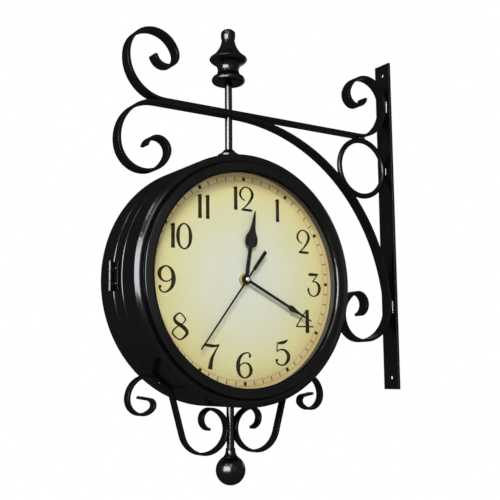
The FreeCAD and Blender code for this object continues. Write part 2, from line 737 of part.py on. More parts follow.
def second_hand():
    """Needle with a broad bar as its counterweight, and a small cap over the arbor."""
    at = SECOND_HAND_AT
    half = SECOND_NEEDLE / 2
    tip = SECOND_TIP / 2
    bar = SECOND_BAR / 2
    start = -SECOND_BAR_START
    tail = start - SECOND_BAR_LENGTH
    blade = outline(
        lambda x, z: Vector(x, -at, z),
        (half, start), (tip, SECOND_LENGTH), (-tip, SECOND_LENGTH), (-half, start),
        (-bar, start), (-bar, tail), (bar, tail), (bar, start),
    )
    hub_r = SECOND_ARBOR_R + SECOND_HUB_WALL
    hand = hand_plate(at, hub_r, SECOND_ARBOR_R, SECOND_ANGLE, blade)
    return hand.fuse(disc(hub_r, at + HAND_THICK, at + HAND_THICK + SECOND_CAP))


# Hinge and catch

def knuckle_spans():
    """Heights of the knuckles. Every second one, counted from the ends, belongs to the band."""
    pitch = HINGE_HEIGHT / KNUCKLES
    low = -HINGE_HEIGHT / 2 + KNUCKLE_GAP / 2
    return [(low + k * pitch, low + (k + 1) * pitch - KNUCKLE_GAP) for k in range(KNUCKLES)]


def leaf(side, spans):
    """Curved leaf on the drum with its knuckles. Side -1 lies on the band, side 1 on the door."""
    half = HINGE_HEIGHT / 2
    outer = DRUM_R + LEAF_THICK
    stand_off = KNUCKLE_R + KNUCKLE_GAP
    sheet = disc(outer, -BAND_REAR - 2 * LEAF_WIDTH, 2 * LEAF_WIDTH, DRUM_R)
    near, far = sorted((BAND_REAR + side * stand_off, BAND_REAR + side * LEAF_WIDTH))
    solid = sheet.common(block(-outer - EPS, -DRUM_R / 2, near, far, -half, half))
    pin_base = Vector(HINGE_X, BAND_REAR, 0)
    for low, high in spans:
        near, far = sorted((BAND_REAR, BAND_REAR + side * (stand_off + EPS)))
        solid = solid.fuse(sheet.common(block(-outer - EPS, -DRUM_R / 2, near, far, low, high)))
        solid = solid.fuse(Part.makeCylinder(KNUCKLE_R, high - low, pin_base + Z_AXIS * low, Z_AXIS))
    hole_r = PIN_R + SHAFT_CLEAR
    solid = solid.cut(Part.makeCylinder(hole_r, HINGE_HEIGHT, pin_base - Z_AXIS * half, Z_AXIS))
    return solid.cut(disc(DRUM_R, -BAND_REAR - 2 * LEAF_WIDTH, 2 * LEAF_WIDTH)).removeSplitter()


def hinge_pin():
    base = Vector(HINGE_X, BAND_REAR, -HINGE_HEIGHT / 2)
    pin = Part.makeCylinder(PIN_R, HINGE_HEIGHT, base, Z_AXIS)
    return pin.fuse(Part.makeCylinder(KNUCKLE_R, PIN_HEAD, base + Z_AXIS * HINGE_HEIGHT, Z_AXIS))


def rivet_places(side):
    """Middle of a leaf, seen along the drum's radius, for each of its two rivets."""
    y = BAND_REAR + side * (KNUCKLE_R + KNUCKLE_GAP + LEAF_WIDTH) / 2
    tilt = math.degrees(math.asin((HINGE_HEIGHT / 2 - RIVET_EDGE) / DRUM_R))
    return [(y, tilt), (y, -tilt)]


def along_radius(solid, y, tilt):
    """Turn a piece drawn along -X onto the drum's radius at a tilt above the middle."""
    return solid.rotated(CENTRE, Y_AXIS, tilt).translated(Y_AXIS * y)


def rivet_shanks(side, radius):
    shanks = []
    for y, tilt in rivet_places(side):
        start = Vector(DRUM_WALL - DRUM_R, 0, 0)
        shank = Part.makeCylinder(radius, DRUM_WALL + LEAF_THICK + WELD_GAP, start, -X_AXIS)
        shanks.append(along_radius(shank, y, tilt))
    return shanks


def rivets(side):
    """Two round-headed rivets through a leaf and the drum's wall."""
    solids = []
    face = DRUM_R + LEAF_THICK + WELD_GAP
    head_r = RIVET_R + RIVET_BRIM
    dome_r = (head_r ** 2 + RIVET_HEAD ** 2) / (2 * RIVET_HEAD)
    for (y, tilt), shank in zip(rivet_places(side), rivet_shanks(side, RIVET_R)):
        dome = Part.makeSphere(dome_r, Vector(dome_r - face - RIVET_HEAD, 0, 0))
        head = dome.common(block(-face - 2 * RIVET_HEAD, -face, -dome_r, dome_r, -dome_r, dome_r))
        solids.append(shank.fuse(along_radius(head, y, tilt)))
    return Part.makeCompound(solids)


def with_rivet_holes(solid, side):
    for shank in rivet_shanks(side, RIVET_R + RING_CLEAR):
        solid = solid.cut(shank)
    return solid


def catch_magnet():
    """Magnet on the inside of the band, opposite the hinge."""
    half = CATCH_HEIGHT / 2
    face = BAND_REAR + LIP_REACH
    blank = block(BAND_INNER_R - CATCH_DEPTH, DRUM_R, face - CATCH_DEPTH, face, -half, half)
    return blank.common(disc(BAND_INNER_R, -face - EPS, face + EPS))


def catch_strike():
    """Steel tab on the inside of the door that the magnet holds."""
    half = CATCH_HEIGHT / 2
    face = BAND_REAR + LIP_REACH + SEAM_GAP
    blank = block(BAND_INNER_R - CATCH_DEPTH, DRUM_R, face, face + STRIKE_THICK, -half, half)
    return blank.common(disc(SHELL_INNER_R, -face - STRIKE_THICK - EPS, face + EPS))


# Feet

def foot_strip():
    """Left foot: an outer curl, a seat on the drum, then a loop that touches the rod and curls in."""
    seat_r = DRUM_R + WELD_GAP + FOOT_THICK / 2
    at = math.radians(FOOT_SEAT_AT)
    seat = (-seat_r * math.sin(at), -seat_r * math.cos(at))
    outer = [("arc", seat_r, -FOOT_SEAT_TURN)] + arcs(FOOT_OUTER, 1) + [("line", FOOT_TONGUE)]
    pose, runs = backwards((seat[0], seat[1], math.pi - at), outer)
    runs += [("arc", seat_r, FOOT_SEAT_TURN), ("arc", FOOT_KNEE_R, -FOOT_KNEE_TURN), ("line", FOOT_LEG)]
    loop = ("arc", foot_loop_r(end_of(pose, runs)), FOOT_LOOP_TURN)
    return bent_strip(pose, runs + [loop] + arcs(FOOT_INNER, 1), FOOT_WIDTH, FOOT_THICK)


def foot_loop_r(leg_end):
    """Radius of the loop that just touches the lower rod where the curl above it stands upright."""
    x, _, heading = leg_end
    after = heading + math.radians(FOOT_LOOP_TURN)
    run = -(ROD_R + WELD_GAP + FOOT_THICK / 2) - x
    curl = FOOT_RISE_R * (1 - math.sin(after))
    return (run - curl) / (math.sin(after) - math.sin(heading))


def foot_screw_tool(radius, depth, start):
    tool = Part.makeCylinder(radius, depth, Vector(0, 0, -start), -Z_AXIS)
    return tool.rotated(CENTRE, Y_AXIS, FOOT_SEAT_AT)


def foot_screws():
    """Pan-headed screws through the feet into the band."""
    face = DRUM_R + WELD_GAP + FOOT_THICK
    screw = foot_screw_tool(FOOT_SCREW_R, face - BAND_INNER_R, BAND_INNER_R)
    head = foot_screw_tool(FOOT_SCREW_R + FOOT_SCREW_BRIM, FOOT_SCREW_HEAD, face)
    middle = face + FOOT_SCREW_HEAD / 2
    rim = [edge for edge in head.Edges if edge.isClosed() and edge.CenterOfMass.Length > middle]
    screw = screw.fuse(head.makeFillet(FOOT_SCREW_ROUND, rim))
    return Part.makeCompound([screw, screw.mirror(CENTRE, X_AXIS)])


def with_foot_holes(solid):
    depth = DRUM_R - BAND_INNER_R + WELD_GAP + FOOT_THICK + 2 * EPS
    hole = foot_screw_tool(FOOT_SCREW_R + RING_CLEAR, depth, BAND_INNER_R - EPS)
    return solid.cut(hole).cut(hole.mirror(CENTRE, X_AXIS))


def build():
    nodes = {
        "wall_bar": wall_bar(),
        "upper_scroll_strip": upper_scroll_strip(),
        "lower_scroll_strip": lower_scroll_strip(),
        "bracket_ring": bracket_ring(),
        "finial": finial(),
        "hanger_rod": hanger_rod(),
        "top_flange": top_flange(),
        "rod_nuts": rod_nuts(),
        "centre_band": with_foot_holes(with_rivet_holes(centre_band(), -1)),
        "front_shell": shell(BAND_FRONT),
        "rear_shell": with_rivet_holes(turned_round(shell(BAND_REAR + SEAM_GAP)), 1),
        "hinge_leaf_fixed": with_rivet_holes(leaf(-1, knuckle_spans()[::2]), -1),
        "hinge_leaf_door": with_rivet_holes(leaf(1, knuckle_spans()[1:2]), 1),
        "hinge_pin": hinge_pin(),
        "hinge_rivets_fixed": rivets(-1),
        "hinge_rivets_door": rivets(1),
        "catch_magnet": catch_magnet(),
        "catch_strike": catch_strike(),
        "foot_scroll_left": with_foot_holes(foot_strip()),
        "foot_scroll_right": with_foot_holes(foot_strip().mirror(CENTRE, X_AXIS)),
        "foot_screws": foot_screws(),
        "lower_rod": lower_rod(),
        "lower_collar": lower_collar(),
        "ball": ball(),
    }
    both_sides = (
        glass, reveal_ring, dial, retaining_ring, movement_case, movement_cover, rubber_gasket, dial_nut,
        hour_wheel, minute_wheel, seconds_wheel, set_knob, battery, battery_contacts,
        hour_hand, minute_hand, second_hand,
    )
    for make in both_sides:
        piece = make()
        nodes["front_" + make.__name__] = piece
        nodes["rear_" + make.__name__] = turned_round(piece)
    return nodes


os.makedirs("parts", exist_ok=True)
for name, solid in build().items():
    solid.translated(TO_MOUNT).exportStep("parts/" + name + ".step")
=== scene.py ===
import json
import math

import bmesh
import bpy
from mathutils import Matrix, Vector


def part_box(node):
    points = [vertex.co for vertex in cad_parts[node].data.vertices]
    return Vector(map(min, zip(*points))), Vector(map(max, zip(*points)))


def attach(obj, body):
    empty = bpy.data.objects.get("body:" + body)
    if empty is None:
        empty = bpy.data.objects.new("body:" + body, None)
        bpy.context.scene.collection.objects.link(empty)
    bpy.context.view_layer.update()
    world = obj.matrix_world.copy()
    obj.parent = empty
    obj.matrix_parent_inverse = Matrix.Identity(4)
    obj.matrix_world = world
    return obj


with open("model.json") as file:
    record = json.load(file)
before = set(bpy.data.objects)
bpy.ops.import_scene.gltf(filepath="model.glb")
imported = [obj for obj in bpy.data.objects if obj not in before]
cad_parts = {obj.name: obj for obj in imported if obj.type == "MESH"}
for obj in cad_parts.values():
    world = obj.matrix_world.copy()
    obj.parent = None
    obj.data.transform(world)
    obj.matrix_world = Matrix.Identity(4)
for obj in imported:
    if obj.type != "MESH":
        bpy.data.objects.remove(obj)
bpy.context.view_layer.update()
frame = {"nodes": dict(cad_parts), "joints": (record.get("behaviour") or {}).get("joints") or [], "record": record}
nodes = frame["nodes"]
subparts = frame["record"]["subparts"]
joints = {joint["name"]: joint for joint in frame["joints"]}

MM = 0.001
AXIS_X = joints["front_minute_turn"]["pos_m"][0]
AXIS_Z = joints["front_minute_turn"]["pos_m"][2]

# Camera, as fitted to the photograph
CAMERA_AT = Vector((-0.6226, -0.6795, -0.1549))
CAMERA_YAW = math.radians(33.41)
CAMERA_PITCH = math.radians(8.01)
CAMERA_ROLL = math.radians(-0.52)
CAMERA_LENS = 63.16
CAMERA_SENSOR = 36.0

# Surroundings, in metres
FLOOR_Z = -0.70
FLOOR_HALF = 30.0             # half of the floor's side
FLOOR_FADE_SCALE = 0.5        # steps of the fade per metre
FLOOR_FADE = (0.35, 0.8)      # steps at which the floor starts to turn white and is white
FLOOR_GREY = (0.9, 0.92)
AMBIENT = 0.24                # strength of the light from all around
AMBIENT_COLOUR = (0.96, 0.98, 1.0, 1)
WARM = (1.0, 0.99, 0.97)
COOL = (0.95, 0.97, 1.0)
COOLER = (0.93, 0.96, 1.0)
CARD_FREE_SLOTS = ("clear_glass", "cream_dial")

# Printed dial, in millimetres from the arbor
PRINT_LIFT = 0.02
PRINT_THICK = 0.03
PRINT_STEP = 0.004            # each stroke of a figure lies this much over the last
PRINT_DEPTH = 0.1             # how far the dial's colour goes into its card
PEN = 1.2                     # times the widths of the strokes
FIGURE_STRETCH = 1.15         # times the figures' own width, apart from the 1
MINUTES = 60
HOUR_MINUTES = 5              # minutes from one hour block to the next
TRACK_RADII = (89.6, 94.4)
TRACK_LINE = 0.22
TICK_WIDTH = 0.9
TICK_ENDS = (90.2, 93.8)
BLOCK_WIDTH = 2.9
BLOCK_LENGTH = 3.4
NUMERAL_HEIGHT = 21.6
NUMERALS = (
    ("1", -8.6, 73.8),
    ("2", 2.8, 73.8),
    ("1", 37.2, 66.6),
    ("2", 66.3, 39.3),
    ("3", 78.0, -0.8),
    ("4", 66.3, -35.4),
    ("5", 40.6, -64.4),
    ("6", -0.4, -75.6),
    ("7", -34.9, -68.2),
    ("8", -65.5, -42.8),
    ("9", -78.6, -3.2),
    ("1", -72.4, 34.8),
    ("0", -61.4, 34.8),
    ("1", -45.8, 62.8),
    ("1", -37.9, 62.8),
)

# Figures as pen strokes: (x, y, width) along each stroke, in heights of the figure. A ball is (x, y, radius).
STROKES = {
    "0": [
        [
            (-0.25, 0.5, 0.12), (-0.19, 0.85, 0.085), (0, 1.01, 0.05), (0.19, 0.85, 0.085), (0.25, 0.5, 0.12),
            (0.19, 0.15, 0.085), (0, -0.01, 0.05), (-0.19, 0.15, 0.085), (-0.25, 0.5, 0.12),
        ],
    ],
    "1": [
        [(0, 0, 0.155), (0, 0.2, 0.14), (0, 0.6, 0.14), (0, 0.97, 0.145)],
        [(0.07, 0.985, 0.035), (-0.03, 0.945, 0.06), (-0.13, 0.9, 0.03)],
    ],
    "2": [
        [
            (-0.05, 0.435, 0.035), (-0.185, 0.505, 0.055), (-0.268, 0.665, 0.08), (-0.23, 0.85, 0.07),
            (-0.1, 0.985, 0.05), (0.04, 1.005, 0.05), (0.2, 0.9, 0.08), (0.265, 0.71, 0.105),
            (0.205, 0.51, 0.09), (0.03, 0.25, 0.055), (-0.2, 0.015, 0.045),
        ],
        [
            (-0.22, 0.02, 0.05), (-0.1, 0.04, 0.085), (0.06, 0.035, 0.095), (0.2, 0.035, 0.085),
            (0.26, 0.06, 0.045),
        ],
    ],
    "3": [
        [
            (-0.25, 0.93, 0.075), (-0.16, 0.945, 0.11), (0.0, 0.945, 0.105), (0.12, 0.955, 0.085),
            (0.21, 0.985, 0.035),
        ],
        [(0.195, 0.98, 0.045), (0.07, 0.8, 0.045), (-0.06, 0.635, 0.045)],
        [
            (-0.07, 0.635, 0.04), (0.1, 0.625, 0.06), (0.235, 0.49, 0.105), (0.26, 0.32, 0.12),
            (0.19, 0.12, 0.09), (0.05, 0.01, 0.05), (-0.1, 0.015, 0.05), (-0.22, 0.12, 0.07),
            (-0.265, 0.26, 0.08), (-0.25, 0.36, 0.05),
        ],
    ],
    "4": [
        [(0.13, 1.0, 0.13), (0.13, 0.5, 0.14), (0.13, 0.0, 0.15)],
        [(0.11, 0.99, 0.045), (-0.14, 0.64, 0.048), (-0.38, 0.275, 0.045)],
        [(-0.4, 0.275, 0.05), (0.0, 0.275, 0.05), (0.42, 0.275, 0.05)],
    ],
    "5": [
        [(-0.22, 0.9, 0.04), (-0.09, 0.9, 0.1), (0.1, 0.945, 0.105), (0.25, 1.045, 0.035)],
        [(-0.215, 0.92, 0.045), (-0.23, 0.75, 0.042), (-0.25, 0.54, 0.042)],
        [
            (-0.25, 0.54, 0.04), (-0.1, 0.62, 0.05), (0.1, 0.6, 0.08), (0.26, 0.42, 0.125),
            (0.25, 0.19, 0.125), (0.1, 0.01, 0.065), (-0.08, -0.02, 0.05), (-0.24, 0.07, 0.06),
            (-0.28, 0.19, 0.06),
        ],
    ],
    "6": [
        [
            (0.25, 0.86, 0.07), (0.19, 0.98, 0.05), (0.08, 1.0, 0.05), (-0.09, 0.93, 0.075),
            (-0.24, 0.72, 0.12), (-0.28, 0.42, 0.14), (-0.21, 0.13, 0.1), (-0.01, -0.02, 0.05),
            (0.2, 0.09, 0.09), (0.27, 0.29, 0.12), (0.2, 0.5, 0.08), (0.03, 0.59, 0.048),
            (-0.15, 0.53, 0.045), (-0.25, 0.38, 0.04),
        ],
    ],
    "7": [
        [
            (-0.34, 0.8, 0.035), (-0.3, 0.93, 0.06), (-0.17, 0.955, 0.095), (0.0, 0.93, 0.11),
            (0.17, 0.925, 0.085), (0.34, 0.98, 0.04),
        ],
        [(0.33, 0.98, 0.045), (0.18, 0.72, 0.06), (0.03, 0.4, 0.11), (-0.04, 0.0, 0.16)],
    ],
    "8": [
        [
            (0.21, 0.8, 0.05), (0.0, 1.02, 0.048), (-0.21, 0.83, 0.08), (-0.13, 0.65, 0.115),
            (0.05, 0.53, 0.125), (0.22, 0.38, 0.125), (0.27, 0.2, 0.095), (0.0, -0.02, 0.05),
            (-0.28, 0.22, 0.06), (-0.17, 0.43, 0.045), (0.06, 0.57, 0.042), (0.17, 0.68, 0.045),
            (0.21, 0.8, 0.05),
        ],
    ],
    "9": [
        [
            (-0.27, 0.19, 0.06), (-0.22, 0.05, 0.055), (-0.08, -0.02, 0.05), (0.09, 0.06, 0.075),
            (0.24, 0.27, 0.12), (0.28, 0.57, 0.14), (0.21, 0.86, 0.1), (0.01, 1.02, 0.05),
            (-0.2, 0.91, 0.095), (-0.27, 0.71, 0.12), (-0.2, 0.5, 0.08), (-0.03, 0.41, 0.048),
            (0.15, 0.47, 0.045), (0.25, 0.62, 0.04),
        ],
    ],
}
BALLS = {
    "5": [(-0.25, 0.185, 0.06)],
    "6": [(0.225, 0.855, 0.055)],
    "9": [(-0.24, 0.2, 0.06)],
}

# Caps of the arbors, in millimetres
CAP_RADIUS = 2.0
CAP_HEIGHT = 0.5
CAP_RINGS = 8
CAP_SIDES = 32

# Weld beads, in millimetres: half length, radius and count of ripples
STRIP_WELD = (7, 1.3, 6)
RING_WALL_WELD = (4.5, 1.2, 4)
RING_ARM_WELD = (4.5, 1.1, 4)
STRIP_WELD_OFF = 0.5          # off the wall bar's face
STRIP_WELD_ASIDE = 0.3        # past the strip's side
RING_WALL_WELD_OFF = 0.4      # off the wall bar's face
RING_ARM_WELD_DOWN = 0.3      # under the ring's top
RING_WELD_ASIDE = 0.75        # share of the ring's half depth
WELD_SIDES = 10
WELD_RIPPLE_STEPS = 6
WELD_SWELL = 0.35             # power of the swelling: the lower, the blunter the ends
WELD_WAVE = 0.13              # height of a ripple, as a share of the radius

# Noises of the materials: scale per metre and detail
ENAMEL_CLOUD = (22.0, 4.0)
ENAMEL_PATCH = (70.0, 5.0)
ENAMEL_GRAIN = (1400.0, 2.0)
ENAMEL_WAVE = (160.0, 2.0)
METAL_CLOUD = (60.0, 4.0)
METAL_STREAK = (900.0, 4.0)
MOULD_CLOUD = (35.0, 4.0)
MOULD_PATCH = (250.0, 4.0)
MOULD_GRAIN = (2200.0, 2.0)
DIAL_BLOTCH = (26.0, 5.0)
DIAL_GRAIN = (700.0, 3.0)
INK_CLOUD = (180.0, 4.0)
INK_PATCH = (400.0, 3.0)
GLASS_CLOUD = (9.0, 3.0)
GLASS_PATCH = (40.0, 4.0)
GLASS_WAVE = (14.0, 1.0)
SLEEVE_SCUFF = (300.0, 4.0)
SLEEVE_PATCH = (120.0, 3.0)
SLEEVE_GRAIN = (500.0, 3.0)
FLOOR_CLOUD = (3.0, 3.0)

# Bands of a noise's values over which a colour or a roughness changes
NOISE_BAND = (0.3, 0.7)
ENAMEL_BAND = (0.35, 0.7)
INK_BAND = (0.3, 0.75)
HAZE_BAND = (0.3, 0.8)

# Relief of the materials, in millimetres
METAL_RELIEF = 0.01
DIAL_RELIEF = 0.004
GLASS_RELIEF = 0.01
SLEEVE_RELIEF = 0.006

# Finish of the materials
ENAMEL_ROUGH_SPREAD = (0.85, 1.15)     # times the roughness
ENAMEL_WAVE_DEPTH = 3                  # times the grain's depth
ENAMEL_MIRROR = (0.98, 0.99, 1.0, 1)
EDGE_SAMPLES = 6
METAL_ROUGH_SPREAD = (-0.07, 0.08)     # added to the roughness
MOULD_ROUGH_SPREAD = (-0.06, 0.06)     # added to the roughness
DIAL_REACH = 98.5                      # millimetres from the arbor to the last tone
DIAL_RAGGED = 0.22                     # how much blotches shift the tones
DIAL_GRAIN_SHARE = 0.12
DIAL_GRAIN_SHADE = (0.55, 1.0)
DIAL_ROUGH = (0.5, 0.6)
INK_ROUGH = (0.55, 0.68)
GLASS_HAZE = (0.0, 0.02)
GLASS_TINT = ((0.985, 0.995, 0.99), (1.0, 1.0, 1.0))
GLASS_SHADE = (0.96, 0.97, 0.965, 1)
SLEEVE_SCALE = 18.0                    # sleeve lengths per metre
SLEEVE_MIDDLE = 0.5                    # place on the sleeve that lies at the arbor
SLEEVE_RAGGED = 0.01
SLEEVE_ROUGH = (0.26, 0.38)

# Node sockets that have no name of their own
COLOUR_A = 6
COLOUR_B = 7
COLOUR_RESULT = 2


# Materials

def feed(tree, socket, value):
    """Links a socket to another one or gives it a constant."""
    if isinstance(value, bpy.types.NodeSocket):
        tree.links.new(value, socket)
    else:
        socket.default_value = value


def calc(tree, operation, first, second):
    """Result of a sum with two sockets or numbers."""
    node = tree.nodes.new("ShaderNodeMath")
    node.operation = operation
    feed(tree, node.inputs[0], first)
    feed(tree, node.inputs[1], second)
    return node.outputs["Value"]


class Shader:
    """The nodes of one material, with the calls that all the materials below share."""

    def __init__(self, name):
        self.material = bpy.data.materials.new(name)
        self.material.use_nodes = True
        self.tree = self.material.node_tree
        self.tree.nodes.clear()
        self.output = self.add("ShaderNodeOutputMaterial")
        self.principled = self.add("ShaderNodeBsdfPrincipled")
        self.tree.links.new(self.principled.outputs["BSDF"], self.output.inputs["Surface"])
        self.place = self.add("ShaderNodeTexCoord").outputs["Object"]

    def add(self, kind, **settings):
        node = self.tree.nodes.new(kind)
        for key, value in settings.items():
            setattr(node, key, value)
        return node

    def feed(self, socket, value):
        feed(self.tree, socket, value)

    def set(self, **values):
        """Inputs of the main shader, with _ for a space."""
        for key, value in values.items():
            self.feed(self.principled.inputs[key.replace("_", " ")], value)

    def calc(self, operation, first, second=0.0):
        return calc(self.tree, operation, first, second)

    def noise(self, scale, detail, stretch=None):
        place = self.place
        if stretch:
            mapping = self.add("ShaderNodeMapping")
            mapping.inputs["Scale"].default_value = stretch
            self.feed(mapping.inputs["Vector"], place)
            place = mapping.outputs["Vector"]
        node = self.add("ShaderNodeTexNoise")
        self.feed(node.inputs["Vector"], place)
        node.inputs["Scale"].default_value = scale
        node.inputs["Detail"].default_value = detail
        return node.outputs["Fac"]

    def ramp(self, value, *stops):
        """Colours or grey levels at places along a value."""
        node = self.add("ShaderNodeValToRGB")
        elements = node.color_ramp.elements
        while len(elements) < len(stops):
            elements.new(1.0)
        for element, (at, colour) in zip(elements, stops):
            element.position = at
            element.color = (*colour, 1) if isinstance(colour, tuple) else (colour, colour, colour, 1)
        self.feed(node.inputs["Fac"], value)
        return node.outputs["Color"]

    def spread(self, noise, low, high, band=NOISE_BAND):
        """Colour or grey level that goes from one to another over a band of a noise's values."""
        return self.ramp(noise, (band[0], low), (band[1], high))

    def mix(self, share, first, second, blend="MIX"):
        """Mix of two colours."""
        node = self.add("ShaderNodeMix", data_type="RGBA", blend_type=blend)
        self.feed(node.inputs["Factor"], share)
        self.feed(node.inputs[COLOUR_A], first)
        self.feed(node.inputs[COLOUR_B], second)
        return node.outputs[COLOUR_RESULT]

    def overlay(self, share, other):
        """Shows the main shader with a share of another one."""
        node = self.add("ShaderNodeMixShader")
        self.feed(node.inputs[0], share)
        self.feed(node.inputs[1], self.principled.outputs["BSDF"])
        self.feed(node.inputs[2], other)
        self.feed(self.output.inputs["Surface"], node.outputs["Shader"])

    def bump(self, *layers, under=None):
        """Layers of (height, depth in millimetres), one on the other, over a normal."""
        normal = under
        for height, depth in layers:
            node = self.add("ShaderNodeBump")
            node.inputs["Distance"].default_value = depth * MM
            self.feed(node.inputs["Height"], height)
            if normal:
                self.feed(node.inputs["Normal"], normal)
            normal = node.outputs["Normal"]
        self.feed(self.principled.inputs["Normal"], normal)
        return normal

    def coordinates(self):
        """Sockets X, Y and Z of the place in the part's frame, in metres."""
        split = self.add("ShaderNodeSeparateXYZ")
        self.feed(split.inputs["Vector"], self.place)
        return split.outputs


def srgb(red, green, blue):
    """Linear colour of a display colour given from 0 to 255."""
    linear = []
    for level in (red, green, blue):
        level /= 255
        linear.append(level / 12.92 if level <= 0.04045 else ((level + 0.055) / 1.055) ** 2.4)
    return tuple(linear)


def enamel(name, dark, light, shine, rough, grain, edge):
    """Black enamel, cloudy and unevenly glossy, with softened edges. Its shine doesn't grow on its flanks."""
    shader = Shader(name)
    colour = shader.spread(shader.noise(*ENAMEL_CLOUD), dark, light, ENAMEL_BAND)
    levels = (rough * times for times in ENAMEL_ROUGH_SPREAD)
    patchy = shader.spread(shader.noise(*ENAMEL_PATCH), *levels)
    shader.set(Base_Color=colour, Roughness=patchy, Specular_IOR_Level=0.0)
    soft = shader.add("ShaderNodeBevel", samples=EDGE_SAMPLES)
    soft.inputs["Radius"].default_value = edge * MM
    normal = shader.bump(
        (shader.noise(*ENAMEL_GRAIN), grain),
        (shader.noise(*ENAMEL_WAVE), grain * ENAMEL_WAVE_DEPTH),
        under=soft.outputs["Normal"],
    )
    mirror = shader.add("ShaderNodeBsdfGlossy")
    shader.feed(mirror.inputs["Roughness"], patchy)
    shader.feed(mirror.inputs["Normal"], normal)
    mirror.inputs["Color"].default_value = ENAMEL_MIRROR
    shader.overlay(shine, mirror.outputs["BSDF"])
    return shader.material


def metal(name, dark, light, rough, lines):
    """Bare metal with fine working lines, which lie across the axis that is stretched."""
    shader = Shader(name)
    streak = shader.noise(*METAL_STREAK, lines)
    colour = shader.spread(shader.noise(*METAL_CLOUD), dark, light)
    levels = (rough + more for more in METAL_ROUGH_SPREAD)
    shader.set(Base_Color=colour, Metallic=1.0, Roughness=shader.spread(streak, *levels))
    shader.bump((streak, METAL_RELIEF))
    return shader.material


def moulded(name, dark, light, rough, grain):
    """Plastic, rubber or another smooth, dull stuff."""
    shader = Shader(name)
    colour = shader.spread(shader.noise(*MOULD_CLOUD), dark, light)
    levels = (rough + more for more in MOULD_ROUGH_SPREAD)
    patchy = shader.spread(shader.noise(*MOULD_PATCH), *levels)
    shader.set(Base_Color=colour, Roughness=patchy, Specular_IOR_Level=0.35)
    shader.bump((shader.noise(*MOULD_GRAIN), grain))
    return shader.material


def dial_card(name):
    """Cream print that darkens to tan at the rim, blotched and grained, on a card that is bare behind."""
    shader = Shader(name)
    at = shader.coordinates()
    across = shader.calc("SUBTRACT", at["X"], AXIS_X)
    up = shader.calc("SUBTRACT", at["Z"], AXIS_Z)
    square = shader.calc("ADD", shader.calc("MULTIPLY", across, across), shader.calc("MULTIPLY", up, up))
    reach = shader.calc("DIVIDE", shader.calc("SQRT", square), DIAL_REACH * MM)
    blotch = shader.noise(*DIAL_BLOTCH)
    shift = shader.calc("MULTIPLY", shader.calc("SUBTRACT", blotch, 0.5), DIAL_RAGGED)
    tone = shader.ramp(
        shader.calc("ADD", reach, shift),
        (0.18, srgb(220, 221, 205)),
        (0.42, srgb(221, 219, 194)),
        (0.66, srgb(220, 216, 174)),
        (0.82, srgb(222, 213, 156)),
        (0.92, srgb(219, 201, 142)),
        (1.0, srgb(210, 182, 124)),
    )
    depth = shader.calc("ABSOLUTE", at["Y"])
    printed = shader.calc("GREATER_THAN", depth, -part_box("front_dial")[0].y - PRINT_DEPTH * MM)
    bare = shader.spread(blotch, srgb(186, 178, 160), srgb(200, 193, 177))
    grain = shader.noise(*DIAL_GRAIN)
    shade = shader.spread(grain, *DIAL_GRAIN_SHADE)
    colour = shader.mix(DIAL_GRAIN_SHARE, shader.mix(printed, bare, tone), shade, "MULTIPLY")
    shader.set(Base_Color=colour, Roughness=shader.spread(blotch, *DIAL_ROUGH), Specular_IOR_Level=0.08)
    shader.bump((grain, DIAL_RELIEF))
    return shader.material


def ink(name, dark, light):
    """Printing ink, a little uneven."""
    shader = Shader(name)
    colour = shader.spread(shader.noise(*INK_CLOUD), dark, light, INK_BAND)
    patchy = shader.spread(shader.noise(*INK_PATCH), *INK_ROUGH)
    shader.set(Base_Color=colour, Roughness=patchy, Specular_IOR_Level=0.03)
    return shader.material


def clear_glass(name):
    """Clear glass with a faint waviness. Lamps shine through it onto the dial."""
    shader = Shader(name)
    haze = shader.spread(shader.noise(*GLASS_PATCH), *GLASS_HAZE, HAZE_BAND)
    tint = shader.spread(shader.noise(*GLASS_CLOUD), *GLASS_TINT)
    shader.set(Base_Color=tint, Roughness=haze, IOR=1.12, Transmission_Weight=1.0)
    shader.bump((shader.noise(*GLASS_WAVE), GLASS_RELIEF))
    through = shader.add("ShaderNodeBsdfTransparent")
    through.inputs["Color"].default_value = GLASS_SHADE
    path = shader.add("ShaderNodeLightPath")
    lit = shader.calc("MAXIMUM", path.outputs["Is Shadow Ray"], path.outputs["Is Diffuse Ray"])
    shader.overlay(lit, through.outputs["BSDF"])
    return shader.material


def battery_wrap(name):
    """Plain printed sleeve: a dark body with a bright band at the raised end."""
    shader = Shader(name)
    across = shader.calc("SUBTRACT", shader.coordinates()["X"], AXIS_X)
    along = shader.calc("ADD", shader.calc("MULTIPLY", across, SLEEVE_SCALE), SLEEVE_MIDDLE)
    scuff = shader.calc("MULTIPLY", shader.noise(*SLEEVE_SCUFF), SLEEVE_RAGGED)
    colour = shader.ramp(
        shader.calc("ADD", along, scuff),
        (0.0, srgb(150, 152, 156)),
        (0.1, srgb(52, 58, 66)),
        (0.62, srgb(58, 66, 76)),
        (0.68, srgb(186, 140, 74)),
        (0.93, srgb(196, 150, 84)),
        (0.97, srgb(176, 178, 182)),
    )
    patchy = shader.spread(shader.noise(*SLEEVE_PATCH), *SLEEVE_ROUGH)
    shader.set(Base_Color=colour, Metallic=0.55, Roughness=patchy)
    shader.bump((shader.noise(*SLEEVE_GRAIN), SLEEVE_RELIEF))
    return shader.material


